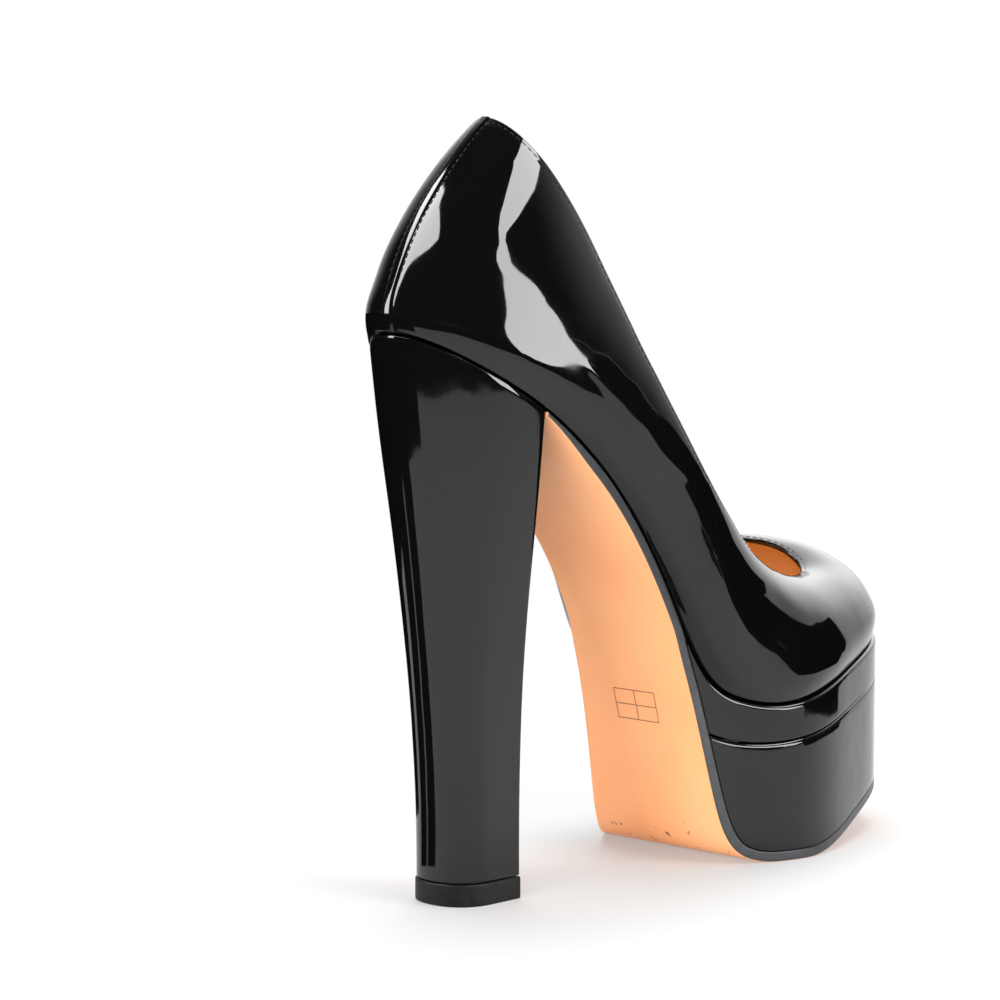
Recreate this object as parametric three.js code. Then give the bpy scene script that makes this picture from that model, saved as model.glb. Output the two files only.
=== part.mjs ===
// Right platform pump: hollow upper, insole, two wrapped tiers, leather outsole, block heel and top lift.
// Millimetres. +X to the toe, +Y to the inner side of the foot, +Z up, origin on the floor under the middle.

import * as THREE from "three";

// Lengths along the floor, from the back edge of the seat
const shoeLength = 210;
const backLean = 39;
const toplineLength = 142;
const breastPlace = 38.4;
const heelBasePlace = 14.6;
const platformBack = 95.8;
const standStart = 127;
const standEnd = 142;

// Widths
const ballWidth = 77;
const openingWidth = 57;
const heelBaseWidth = 24.4;

// Heights above the floor, or above the edge named
const heelHeight = 162;
const backHeight = 59.6;
const platformHeight = 47.6;
const throatHeight = 33.4;
const toeSpring = 14;
const treadSpring = 12.5;
const lowerTierHeight = 36.2;
const liftHeight = 6.4;

// Thicknesses and small sizes
const wall = 1.8;
const insoleThickness = 2.4;
const outsoleThickness = 3;
const outsoleSkive = 1.1;
const skiveLength = 22;
const tierEdge = 1.2;
const tierMargin = 1.2;
const soleEdge = 0.8;
const heelEdge = 0.9;
const liftStep = 0.35;
const seamRise = 0.4;
const seamWidth = 3;
const heelBaseRound = 12;
const heelBaseSquareness = 2.3;
const hiddenEdge = 0.2;
const feltEdge = 0.4;
const tierTip = 1.8;
const gap = 0.3;
const bedGap = 0.2;
const insoleEase = 0.1;

// Facets, and the fine steps that measure along an edge
const turnSteps = 44;
const wallRows = 11;
const liningRows = 8;
const soleSteps = 40;
const shankSteps = 38;
const backSteps = 28;
const standSteps = 4;
const toeSteps = 16;
const heelSteps = 22;
const heelRows = 9;
const fineSteps = 600;
const turnStep = 0.004;
const placeStep = 0.25;

// Shares that shape a curve: rows crowd towards the sole, the toe rolls up late, the seam's flank is short
const rowCrowding = 1.25;
const toeRoll = 1.4;
const seamFlank = 1.35;
const edgeShare = 0.3;
const heelCentre = 0.45;

// Every table gives shares of the sizes above. at: 0 at the back seam, 1 at the toe tip.

// Bottom edge of the upper in plan, as shares of ballWidth. Outer side is minus, inner side plus.
const featherTable = [
  { at: 0.0, outer: 0.013, inner: 0.013 },
  { at: 0.1, outer: -0.165, inner: 0.188 },
  { at: 0.2, outer: -0.274, inner: 0.290 },
  { at: 0.3, outer: -0.293, inner: 0.291 },
  { at: 0.4, outer: -0.288, inner: 0.262 },
  { at: 0.46, outer: -0.290, inner: 0.262 },
  { at: 0.53, outer: -0.346, inner: 0.360 },
  { at: 0.6, outer: -0.436, inner: 0.532 },
  { at: 0.7, outer: -0.366, inner: 0.540 },
  { at: 0.8, outer: -0.236, inner: 0.462 },
  { at: 0.9, outer: -0.072, inner: 0.312 },
  { at: 1.0, outer: 0.120, inner: 0.120 },
];

// Top edge: y as shares of openingWidth, height as shares of the rise from the throat to the back peak.
const toplineTable = [
  { at: 0.0, outer: 0.035, inner: 0.035, outerRise: 1.0, innerRise: 1.0 },
  { at: 0.1, outer: -0.210, inner: 0.240, outerRise: 0.946, innerRise: 0.948 },
  { at: 0.2, outer: -0.362, inner: 0.375, outerRise: 0.811, innerRise: 0.815 },
  { at: 0.3, outer: -0.465, inner: 0.468, outerRise: 0.592, innerRise: 0.600 },
  { at: 0.4, outer: -0.520, inner: 0.520, outerRise: 0.368, innerRise: 0.380 },
  { at: 0.5, outer: -0.484, inner: 0.530, outerRise: 0.182, innerRise: 0.214 },
  { at: 0.6, outer: -0.366, inner: 0.508, outerRise: 0.069, innerRise: 0.130 },
  { at: 0.7, outer: -0.246, inner: 0.461, outerRise: 0.018, innerRise: 0.092 },
  { at: 0.8, outer: -0.124, inner: 0.382, outerRise: 0.002, innerRise: 0.074 },
  { at: 0.9, outer: 0.000, inner: 0.272, outerRise: 0.010, innerRise: 0.060 },
  { at: 1.0, outer: 0.140, inner: 0.140, outerRise: 0.038, innerRise: 0.038 },
];

// How the wall leaves the bottom edge and meets the top edge, as shares of the straight line between them.
const wallTable = [
  { at: 0.0, footOut: 0.035, footUp: 0.28, topOut: 0.27, topDown: 0.22 },
  { at: 0.1, footOut: 0.05, footUp: 0.27, topOut: 0.27, topDown: 0.22 },
  { at: 0.2, footOut: 0.10, footUp: 0.26, topOut: 0.25, topDown: 0.24 },
  { at: 0.3, footOut: 0.20, footUp: 0.26, topOut: 0.20, topDown: 0.27 },
  { at: 0.4, footOut: 0.27, footUp: 0.22, topOut: 0.14, topDown: 0.30 },
  { at: 0.5, footOut: 0.26, footUp: 0.22, topOut: 0.13, topDown: 0.30 },
  { at: 0.6, footOut: 0.16, footUp: 0.32, topOut: 0.25, topDown: 0.20 },
  { at: 0.7, footOut: 0.13, footUp: 0.42, topOut: 0.36, topDown: 0.08 },
  { at: 0.8, footOut: 0.10, footUp: 0.47, topOut: 0.41, topDown: -0.04 },
  { at: 0.9, footOut: 0.08, footUp: 0.50, topOut: 0.43, topDown: -0.08 },
  { at: 1.0, footOut: 0.07, footUp: 0.50, topOut: 0.44, topDown: -0.08 },
];

// Bed of the last. place: share of shoeLength.
// lift: share of the heel's rise over the platform; spring: share of toeSpring.
const bedTable = [
  { place: 0.0, lift: 1.0, spring: 0 },
  { place: 0.067, lift: 0.926, spring: 0 },
  { place: 0.184, lift: 0.806, spring: 0 },
  { place: 0.286, lift: 0.664, spring: 0 },
  { place: 0.381, lift: 0.466, spring: 0 },
  { place: 0.438, lift: 0.295, spring: 0 },
  { place: 0.476, lift: 0.160, spring: 0 },
  { place: 0.514, lift: 0.068, spring: 0 },
  { place: 0.562, lift: 0.018, spring: 0 },
  { place: 0.619, lift: 0.0, spring: 0 },
  { place: 0.714, lift: 0.0, spring: 0.22 },
  { place: 0.857, lift: 0.0, spring: 0.66 },
  { place: 1.0, lift: 0.0, spring: 1.0 },
];

// Back of the platform, down to the floor. place: share of the run to standStart; height: of platformHeight.
const platformBackTable = [
  { place: 0.0, height: 1.335 },
  { place: 0.105, height: 1.128 },
  { place: 0.22, height: 0.865 },
  { place: 0.34, height: 0.560 },
  { place: 0.46, height: 0.285 },
  { place: 0.58, height: 0.128 },
  { place: 0.74, height: 0.042 },
  { place: 1.0, height: 0.0 },
];

// Top line of the lower tier. place: share of the run from platformBack to the toe tip.
// lift, spring: as in the bed.
const tierLineTable = [
  { place: 0.0, lift: 0.075, spring: 0 },
  { place: 0.07, lift: 0.046, spring: 0 },
  { place: 0.15, lift: 0.016, spring: 0 },
  { place: 0.28, lift: 0.0, spring: 0 },
  { place: 0.54, lift: 0.0, spring: 0.31 },
  { place: 0.75, lift: 0.0, spring: 0.62 },
  { place: 1.0, lift: 0.0, spring: 0.92 },
];

// Flare of the heel block. at: share of its height; width, back: shares of the growth from base to seat.
const heelTable = [
  { at: 0.0, width: 0.0, back: 0.0 },
  { at: 0.12, width: 0.005, back: 0.02 },
  { at: 0.25, width: 0.04, back: 0.09 },
  { at: 0.4, width: 0.13, back: 0.22 },
  { at: 0.55, width: 0.30, back: 0.39 },
  { at: 0.7, width: 0.54, back: 0.59 },
  { at: 0.85, width: 0.79, back: 0.82 },
  { at: 1.0, width: 1.0, back: 1.0 },
];

// Natural cubic through [place, value] pairs
function spline(knots) {
  const last = knots.length - 1;
  const bend = new Array(last + 1).fill(0);
  const carry = new Array(last + 1).fill(0);
  for (let i = 1; i < last; i++) {
    const before = knots[i][0] - knots[i - 1][0];
    const after = knots[i + 1][0] - knots[i][0];
    const slopeChange = (knots[i + 1][1] - knots[i][1]) / after - (knots[i][1] - knots[i - 1][1]) / before;
    const pivot = 2 * (before + after) - before * carry[i - 1];
    carry[i] = after / pivot;
    bend[i] = (6 * slopeChange - before * bend[i - 1]) / pivot;
  }
  for (let i = last - 1; i > 0; i--) {
    bend[i] -= carry[i] * bend[i + 1];
  }
  return (place) => {
    let i = 0;
    while (i < last - 1 && place > knots[i + 1][0]) {
      i++;
    }
    const step = knots[i + 1][0] - knots[i][0];
    const b = THREE.MathUtils.clamp((place - knots[i][0]) / step, 0, 1);
    const a = 1 - b;
    const curve = ((a ** 3 - a) * bend[i] + (b ** 3 - b) * bend[i + 1]) * step * step / 6;
    return a * knots[i][1] + b * knots[i + 1][1] + curve;
  };
}

// A column as a closed curve round the shoe: 0 at the back seam, 1 at the toe, 2 back at the seam
function round(rows, outer, inner = outer) {
  const knots = [];
  for (const turn of [-2, 0, 2]) {
    knots.push(...rows.map((row) => [turn + row.at, row[outer]]));
    knots.push(...rows.slice(1, -1).reverse().map((row) => [turn + 2 - row.at, row[inner]]));
  }
  return spline(knots);
}

function column(rows, key, value) {
  return spline(rows.map((row) => [row[key], row[value]]));
}

const featherY = round(featherTable, "outer", "inner");
const toplineY = round(toplineTable, "outer", "inner");
const toplineRise = round(toplineTable, "outerRise", "innerRise");
const footOut = round(wallTable, "footOut");
const footUp = round(wallTable, "footUp");
const topOut = round(wallTable, "topOut");
const topDown = round(wallTable, "topDown");
const bedLift = column(bedTable, "place", "lift");
const bedSpring = column(bedTable, "place", "spring");
const backFace = column(platformBackTable, "place", "height");
const tierLift = column(tierLineTable, "place", "lift");
const tierSpring = column(tierLineTable, "place", "spring");
const heelWidthShare = column(heelTable, "at", "width");
const heelBackShare = column(heelTable, "at", "back");

// Even shares from 0 to 1
function steps(count) {
  return Array.from({ length: count + 1 }, (none, i) => i / count);
}

const along = (turn) => (1 - Math.cos(Math.PI * turn)) / 2;
const turnAt = (x) => Math.acos(1 - 2 * THREE.MathUtils.clamp(x / shoeLength, 0, 1)) / Math.PI;
const clearOf = (offset) => offset + gap;

// Height of the last's bed: what the upper's bottom edge and the insole stand on
function bed(x) {
  const place = x / shoeLength;
  return platformHeight + bedLift(place) * (heelHeight - platformHeight) + bedSpring(place) * toeSpring;
}

// Line between the two tiers
function tierLine(x) {
  const place = (x - platformBack) / (shoeLength - platformBack);
  return lowerTierHeight + tierLift(place) * (heelHeight - platformHeight) + tierSpring(place) * toeSpring;
}

// How far the sole and the tiers stand out past the upper's bottom edge
function soleMargin(x) {
  return tierMargin * THREE.MathUtils.smoothstep(x, platformBack, standEnd);
}

function soleThickness(x) {
  const grown = THREE.MathUtils.smoothstep(x, breastPlace, breastPlace + skiveLength);
  return THREE.MathUtils.lerp(outsoleSkive, outsoleThickness, grown);
}

// A side profile moved along its own normal (up when offset is positive), as [x, z] pairs
function shiftProfile(profile, offset) {
  return profile.map(([x, z], i) => {
    const [x0, z0] = profile[Math.max(i - 1, 0)];
    const [x1, z1] = profile[Math.min(i + 1, profile.length - 1)];
    const run = Math.hypot(x1 - x0, z1 - z0);
    const shift = offset(x);
    return [x - shift * (z1 - z0) / run, z + shift * (x1 - x0) / run];
  });
}

function heightOn(profile) {
  return (x) => {
    let i = 0;
    while (i < profile.length - 2 && x > profile[i + 1][0]) {
      i++;
    }
    const [[x0, z0], [x1, z1]] = [profile[i], profile[i + 1]];
    return THREE.MathUtils.lerp(z0, z1, THREE.MathUtils.clamp((x - x0) / (x1 - x0), 0, 1));
  };
}

// Underside of the outsole: down the shank under the bed, down the platform's back, flat, then up to the toe
function treadProfile() {
  const { lerp } = THREE.MathUtils;
  const shank = steps(shankSteps).map((share) => {
    const x = lerp(breastPlace, platformBack, share);
    return [x, bed(x)];
  });
  const under = shiftProfile(shank, (x) => -bedGap - soleThickness(x));
  const back = steps(backSteps).map((share) => [
    lerp(platformBack, standStart, share),
    platformHeight * backFace(share),
  ]);
  const stand = steps(standSteps).map((share) => [lerp(standStart, standEnd, share), 0]);
  const toe = steps(toeSteps).map((share) => [
    lerp(standEnd, shoeLength + tierMargin, share),
    treadSpring * Math.sin(share * Math.PI / 2) ** toeRoll,
  ]);
  return [...under.filter(([x]) => x < platformBack - bedGap), ...back, ...stand.slice(1), ...toe.slice(1)];
}

const treadPoints = treadProfile();
const tread = heightOn(treadPoints);
const outsoleTop = heightOn(shiftProfile(treadPoints, soleThickness));
const tierFloor = heightOn(shiftProfile(treadPoints, (x) => clearOf(soleThickness(x))));

// Outline of the bottom in plan, moved inwards by inset
function featherPoint(turn, inset = 0) {
  const edge = (t) => new THREE.Vector2(shoeLength * along(t), ballWidth * featherY(t));
  const run = edge(turn + turnStep).sub(edge(turn - turnStep)).normalize();
  return edge(turn).add(new THREE.Vector2(-run.y, run.x).multiplyScalar(inset));
}

// Turns from the toe tip back to backTurn, evenly spaced along the edge that lies at the heights z(x)
function evenTurns(backTurn, z, count) {
  const fine = steps(fineSteps).map((share) => THREE.MathUtils.lerp(1, backTurn, share));
  const points = fine.map((turn) => edgePoint(turn, () => 0, z));
  const lengths = lengthsAlong(points);
  return steps(count).map((share) => {
    const wanted = Math.min(share * lengths.at(-1), lengths.at(-1));
    return fine[lengths.findIndex((length) => length >= wanted)];
  });
}

// Length of a line of points up to each of them
function lengthsAlong(points) {
  const lengths = [0];
  for (let i = 1; i < points.length; i++) {
    lengths.push(lengths[i - 1] + points[i].distanceTo(points[i - 1]));
  }
  return lengths;
}

function edgePoint(turn, inset, z) {
  const point = featherPoint(turn, inset(shoeLength * along(turn)));
  return new THREE.Vector3(point.x, point.y, z(point.x));
}

// A ring from the toe tip back over the inner side and forward over the outer side, at the heights z(x)
function soleRing(turns, inset, z) {
  const innerSide = turns.map((turn) => edgePoint(2 - turn, inset, z));
  const outerSide = turns.slice(1).reverse().map((turn) => edgePoint(turn, inset, z));
  return turns.at(-1) === 0 ? [...innerSide, ...outerSide.slice(1)] : [...innerSide, ...outerSide];
}

// Closed solid from rings stacked bottom to top, its two ends closed by strips across the shoe
function stackRings(rings) {
  const count = rings[0].length;
  const points = rings.flat();
  const faces = [];
  for (let r = 0; r < rings.length - 1; r++) {
    for (let i = 0; i < count; i++) {
      const a = r * count + i;
      const b = r * count + (i + 1) % count;
      faces.push([a, b, b + count], [a, b + count, a + count]);
    }
  }
  const top = (rings.length - 1) * count;
  for (let i = 0; i < Math.floor(count / 2); i++) {
    const across = count - i - 1;
    const strip = [[i, i + 1, across], [i, across, (count - i) % count]];
    for (const face of strip.filter((corners) => new Set(corners).size === 3)) {
      faces.push(face.map((k) => k + top), face.toReversed());
    }
  }
  return solid(points, faces);
}

function solid(points, faces) {
  const geometry = new THREE.BufferGeometry();
  geometry.setAttribute("position", new THREE.Float32BufferAttribute(points.flatMap((p) => p.toArray()), 3));
  geometry.setIndex(faces.flat());
  geometry.computeVertexNormals();
  return geometry;
}

// The places shared by outsole and tiers, so that their facets lie side by side, from the toe back to x
const soleTurns = evenTurns(turnAt(breastPlace + gap), tread, soleSteps);

function turnsTo(x) {
  const backTurn = turnAt(x);
  return [...soleTurns.filter((turn) => turn > backTurn + turnStep), backTurn];
}

// Solid between two height functions, inset(x) inside the bottom edge of the upper, with its rims broken
function slab(turns, inset, bottom, top, lowerEdge, upperEdge) {
  const low = (x) => bottom(x) + Math.min(lowerEdge, edgeShare * (top(x) - bottom(x)));
  const high = (x) => top(x) - Math.min(upperEdge, edgeShare * (top(x) - bottom(x)));
  return stackRings([
    soleRing(turns, (x) => inset(x) + lowerEdge, bottom),
    soleRing(turns, inset, low),
    soleRing(turns, inset, high),
    soleRing(turns, (x) => inset(x) + upperEdge, top),
  ]);
}

// Point of the upper's outer face. rise: 0 at the bottom edge, 1 at the top edge
function upperPoint(turn, rise) {
  const foot = new THREE.Vector3(shoeLength * along(turn), ballWidth * featherY(turn), 0);
  foot.z = bed(foot.x) + bedGap;
  const throat = platformHeight + throatHeight;
  const topline = new THREE.Vector3(
    backLean + toplineLength * along(turn),
    openingWidth * toplineY(turn),
    THREE.MathUtils.lerp(throat, heelHeight + backHeight, toplineRise(turn)),
  );
  const out = new THREE.Vector3(-Math.cos(Math.PI * turn), -Math.sin(Math.PI * turn), 0);
  const reach = foot.distanceTo(topline);
  const lower = foot.clone().addScaledVector(out, footOut(turn) * reach);
  lower.z += footUp(turn) * reach;
  const upper = topline.clone().addScaledVector(out, topOut(turn) * reach);
  upper.z -= topDown(turn) * reach;
  return new THREE.CubicBezierCurve3(foot, lower, upper, topline).getPoint(rise);
}

function upperNormal(turn, rise) {
  const forward = upperPoint(turn + turnStep, rise).sub(upperPoint(turn - turnStep, rise));
  const above = upperPoint(turn, Math.min(rise + turnStep, 1));
  const up = above.sub(upperPoint(turn, Math.max(rise - turnStep, 0)));
  return new THREE.Vector3().crossVectors(forward, up).normalize();
}

// Turns of the upper's mesh: even steps along the bottom edge, and four more that cut the raised back seam
function upperTurns() {
  const lengthPerTurn = upperPoint(turnStep, 0.5).distanceTo(upperPoint(0, 0.5)) / turnStep;
  const seam = seamWidth / 2 / lengthPerTurn;
  const outerSide = [...evenTurns(0, bed, turnSteps), seam, seam * seamFlank];
  const innerSide = outerSide.filter((turn) => turn > 0 && turn < 1).map((turn) => 2 - turn);
  const turns = [...outerSide, ...innerSide].sort((a, b) => a - b);
  return { turns, seam };
}

// Hollow upper: outer wall, lining wall, and the rims that join them at the topline and the bottom edge
function upper() {
  const { turns, seam } = upperTurns();
  const points = [];
  for (const share of steps(wallRows)) {
    const rise = share ** rowCrowding;
    for (const turn of turns) {
      const onSeam = turn <= seam || turn >= 2 - seam;
      points.push(upperPoint(turn, rise).addScaledVector(upperNormal(turn, rise), onSeam ? seamRise : 0));
    }
  }
  for (const share of steps(liningRows).toReversed().slice(0, -1)) {
    const rise = share ** rowCrowding;
    for (const turn of turns) {
      points.push(upperPoint(turn, rise).addScaledVector(upperNormal(turn, rise), -wall));
    }
  }
  for (const turn of turns) {
    const inside = featherPoint(turn, wall);
    points.push(new THREE.Vector3(inside.x, inside.y, bed(inside.x) + bedGap));
  }
  const count = turns.length;
  const rows = points.length / count;
  const faces = [];
  for (let row = 0; row < rows; row++) {
    const here = row * count;
    const above = (row + 1) % rows * count;
    for (let i = 0; i < count; i++) {
      const next = (i + 1) % count;
      faces.push([here + i, here + next, above + next], [here + i, above + next, above + i]);
    }
  }
  return solid(points, faces);
}

function insole() {
  const inset = () => clearOf(wall) + insoleEase;
  const underside = (x) => bed(x) + bedGap;
  const top = (x) => underside(x) + insoleThickness;
  return slab(evenTurns(0, bed, soleSteps), inset, underside, top, hiddenEdge, feltEdge);
}

function outsole() {
  const top = (x) => Math.min(outsoleTop(x), bed(x) - bedGap);
  return slab(soleTurns, (x) => -soleMargin(x), tread, top, soleEdge, hiddenEdge);
}

function platformLowerTier() {
  const start = firstPlace((x) => tierLine(x) - tierFloor(x));
  return slab(turnsTo(start), (x) => -soleMargin(x), tierFloor, tierLine, hiddenEdge, tierEdge);
}

function platformUpperTier() {
  const bottom = (x) => Math.max(tierFloor(x), tierLine(x) + gap);
  const top = (x) => bed(x) - bedGap;
  const start = firstPlace((x) => top(x) - bottom(x));
  return slab(turnsTo(start), (x) => -soleMargin(x), bottom, top, feltEdge, tierEdge);
}

// Where a wedge that opens towards the toe is first as thick as tierTip
function firstPlace(height) {
  let x = breastPlace;
  while (height(x) < tierTip) {
    x += placeStep;
  }
  return x;
}

// Heel outlines in plan, from the outer breast corner round the back to the inner one
function heelBaseOutline() {
  const half = heelBaseWidth / 2;
  const bulge = (value) => Math.sign(value) * Math.abs(value) ** (2 / heelBaseSquareness);
  const back = steps(fineSteps).map((share) => {
    const angle = Math.PI * (share - 0.5);
    const x = heelBasePlace + heelBaseRound * (1 - bulge(Math.cos(angle)));
    return new THREE.Vector2(x, half * bulge(Math.sin(angle)));
  });
  return evenly([new THREE.Vector2(breastPlace, -half), ...back, new THREE.Vector2(breastPlace, half)]);
}

function heelSeatOutline() {
  const breast = turnAt(breastPlace);
  return evenly(steps(fineSteps).map((share) => featherPoint(THREE.MathUtils.lerp(breast, -breast, share))));
}

// The same line as evenly spaced points, as many on each side of the heel
function evenly(points) {
  const lengths = lengthsAlong(points);
  return steps(heelSteps * 2).map((share) => {
    const want = share * lengths.at(-1);
    const i = Math.max(lengths.findIndex((length) => length >= want), 1);
    return points[i - 1].clone().lerp(points[i], (want - lengths[i - 1]) / (lengths[i] - lengths[i - 1]));
  });
}

// A ring of the heel at a share of its height, moved inwards by inset
function heelRing(height, inset, lowest) {
  const base = heelBaseOutline();
  const seat = heelSeatOutline();
  const plan = base.map((point, i) => new THREE.Vector2(
    THREE.MathUtils.lerp(point.x, seat[i].x, heelBackShare(height)),
    THREE.MathUtils.lerp(point.y, seat[i].y, heelWidthShare(height)),
  ));
  const centre = new THREE.Vector2(THREE.MathUtils.lerp(plan[0].x, plan[heelSteps].x, heelCentre), 0);
  const ring = plan.map((point, i) => {
    const inward = centre.clone().sub(point).normalize().multiplyScalar(inset);
    const z = THREE.MathUtils.lerp(lowest, bed(seat[i].x + inward.x) - bedGap, height);
    return new THREE.Vector3(point.x + inward.x, point.y + inward.y, z);
  });
  // The order starts at the back and runs over the outer side, so that the halves pair across the heel
  const outerSide = ring.slice(0, heelSteps + 1).reverse();
  const innerSide = ring.slice(heelSteps + 1).reverse();
  return [...outerSide, ...innerSide];
}

function heel() {
  const bottom = clearOf(liftHeight);
  const rings = steps(heelRows).map((height) => heelRing(height, 0, bottom));
  for (const point of rings.at(-1)) {
    point.z -= heelEdge;
  }
  return stackRings([...rings, heelRing(1, heelEdge, bottom)]);
}

function topLift() {
  return stackRings([
    heelRing(0, liftStep, 0),
    heelRing(0, -liftStep, soleEdge),
    heelRing(0, -liftStep, liftHeight),
  ]);
}

const patent = new THREE.MeshStandardMaterial({ color: 0x0b0b0d, roughness: 0.06, metalness: 0 });
const soleLeather = new THREE.MeshStandardMaterial({ color: 0xe8a165, roughness: 0.5, metalness: 0 });
const insoleLeather = new THREE.MeshStandardMaterial({ color: 0xc98243, roughness: 0.6, metalness: 0 });
const rubber = new THREE.MeshStandardMaterial({ color: 0x161616, roughness: 0.7, metalness: 0 });

const pieces = [
  ["upper", upper(), patent],
  ["insole", insole(), insoleLeather],
  ["platform_upper_tier", platformUpperTier(), patent],
  ["platform_lower_tier", platformLowerTier(), patent],
  ["outsole", outsole(), soleLeather],
  ["heel", heel(), patent],
  ["top_lift", topLift(), rubber],
];

const shoe = new THREE.Group();
for (const [name, geometry, material] of pieces) {
  const mesh = new THREE.Mesh(geometry, material);
  mesh.name = name;
  shoe.add(mesh);
}

// The origin goes to the middle of the shoe's box, on the floor
const box = new THREE.Box3().setFromObject(shoe, true);
const middle = box.getCenter(new THREE.Vector3());
for (const mesh of shoe.children) mesh.position.set(-middle.x, -middle.y, 0);

export default shoe;
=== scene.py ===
"""Looks of a right platform pump in black patent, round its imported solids. Metres, in the part's frame."""

import math

import bmesh
import bpy
import numpy as np
from mathutils import Matrix, Vector, noise


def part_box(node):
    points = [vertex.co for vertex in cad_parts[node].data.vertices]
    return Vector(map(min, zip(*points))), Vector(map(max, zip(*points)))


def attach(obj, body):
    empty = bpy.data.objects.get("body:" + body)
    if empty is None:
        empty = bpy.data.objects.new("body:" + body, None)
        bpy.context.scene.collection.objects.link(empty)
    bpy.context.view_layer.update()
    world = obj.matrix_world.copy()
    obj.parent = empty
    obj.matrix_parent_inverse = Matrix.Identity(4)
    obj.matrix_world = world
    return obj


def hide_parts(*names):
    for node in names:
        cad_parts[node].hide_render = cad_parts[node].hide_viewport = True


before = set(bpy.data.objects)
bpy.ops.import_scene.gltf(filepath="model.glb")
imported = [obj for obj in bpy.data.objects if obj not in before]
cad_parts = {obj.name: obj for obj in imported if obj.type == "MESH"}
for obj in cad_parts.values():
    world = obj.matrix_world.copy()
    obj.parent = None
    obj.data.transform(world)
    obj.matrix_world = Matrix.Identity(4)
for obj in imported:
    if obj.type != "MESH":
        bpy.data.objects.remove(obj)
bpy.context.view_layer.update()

MM = 0.001

# Driving sizes in millimetres, as in the part's source
shoe_length = 210.0
back_lean = 39.0
topline_length = 142.0
breast_place = 38.4
heel_base_place = 14.6
platform_back = 95.8
stand_start = 127.0
stand_end = 142.0
ball_width = 77.0
opening_width = 57.0
heel_base_width = 24.4
heel_height = 162.0
back_height = 59.6
platform_height = 47.6
throat_height = 33.4
toe_spring = 14.0
tread_spring = 12.5
lower_tier_height = 36.2
lift_height = 6.4
wall = 1.8
insole_thickness = 2.4
outsole_thickness = 3.0
outsole_skive = 1.1
skive_length = 22.0
tier_margin = 1.2
heel_base_round = 12.0
heel_base_squareness = 2.3
lift_step = 0.35
gap = 0.3
bed_gap = 0.2
toe_roll = 1.4
heel_centre = 0.45

# Bottom edge of the upper: place from back seam to toe; outer and inner side, shares of the ball width
feather_rows = [
    (0.0, 0.013, 0.013),
    (0.1, -0.165, 0.188),
    (0.2, -0.274, 0.290),
    (0.3, -0.293, 0.291),
    (0.4, -0.288, 0.262),
    (0.46, -0.290, 0.262),
    (0.53, -0.346, 0.360),
    (0.6, -0.436, 0.532),
    (0.7, -0.366, 0.540),
    (0.8, -0.236, 0.462),
    (0.9, -0.072, 0.312),
    (1.0, 0.120, 0.120),
]

# Top edge: place; outer and inner side, shares of the opening; outer and inner rise from throat to back peak
topline_rows = [
    (0.0, 0.035, 0.035, 1.0, 1.0),
    (0.1, -0.210, 0.240, 0.946, 0.948),
    (0.2, -0.362, 0.375, 0.811, 0.815),
    (0.3, -0.465, 0.468, 0.592, 0.600),
    (0.4, -0.520, 0.520, 0.368, 0.380),
    (0.5, -0.484, 0.530, 0.182, 0.214),
    (0.6, -0.366, 0.508, 0.069, 0.130),
    (0.7, -0.246, 0.461, 0.018, 0.092),
    (0.8, -0.124, 0.382, 0.002, 0.074),
    (0.9, 0.000, 0.272, 0.010, 0.060),
    (1.0, 0.140, 0.140, 0.038, 0.038),
]

# Wall between them: place; out and up at the foot, out and down at the top, shares of the line between
wall_rows = [
    (0.0, 0.035, 0.28, 0.27, 0.22),
    (0.1, 0.05, 0.27, 0.27, 0.22),
    (0.2, 0.10, 0.26, 0.25, 0.24),
    (0.3, 0.20, 0.26, 0.20, 0.27),
    (0.4, 0.27, 0.22, 0.14, 0.30),
    (0.5, 0.26, 0.22, 0.13, 0.30),
    (0.6, 0.16, 0.32, 0.25, 0.20),
    (0.7, 0.13, 0.42, 0.36, 0.08),
    (0.8, 0.10, 0.47, 0.41, -0.04),
    (0.9, 0.08, 0.50, 0.43, -0.08),
    (1.0, 0.07, 0.50, 0.44, -0.08),
]

# Bed of the last: place along the shoe; lift to the heel, toe spring
bed_rows = [
    (0.0, 1.0, 0),
    (0.067, 0.926, 0),
    (0.184, 0.806, 0),
    (0.286, 0.664, 0),
    (0.381, 0.466, 0),
    (0.438, 0.295, 0),
    (0.476, 0.160, 0),
    (0.514, 0.068, 0),
    (0.562, 0.018, 0),
    (0.619, 0.0, 0),
    (0.714, 0.0, 0.22),
    (0.857, 0.0, 0.66),
    (1.0, 0.0, 1.0),
]

# Back of the platform: place from its top to the floor; height as a share of the platform
platform_back_rows = [
    (0.0, 1.335),
    (0.105, 1.128),
    (0.22, 0.865),
    (0.34, 0.560),
    (0.46, 0.285),
    (0.58, 0.128),
    (0.74, 0.042),
    (1.0, 0.0),
]

# Line between the tiers: place from the platform's back to the toe; lift, toe spring
tier_line_rows = [
    (0.0, 0.075, 0),
    (0.07, 0.046, 0),
    (0.15, 0.016, 0),
    (0.28, 0.0, 0),
    (0.54, 0.0, 0.31),
    (0.75, 0.0, 0.62),
    (1.0, 0.0, 0.92),
]

# Flare of the heel: share of its height; growth of its width and of its back towards the seat
heel_rows = [
    (0.0, 0.0, 0.0),
    (0.12, 0.005, 0.02),
    (0.25, 0.04, 0.09),
    (0.4, 0.13, 0.22),
    (0.55, 0.30, 0.39),
    (0.7, 0.54, 0.59),
    (0.85, 0.79, 0.82),
    (1.0, 1.0, 1.0),
]

# The part's own middle, from the toe end of the outsole and from the lift, which is even from side to side
toe_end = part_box("outsole")[1].x / MM
lift_low, lift_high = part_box("top_lift")
middle_x = shoe_length + tier_margin - toe_end
middle_y = -(lift_low.y + lift_high.y) / 2 / MM


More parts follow.
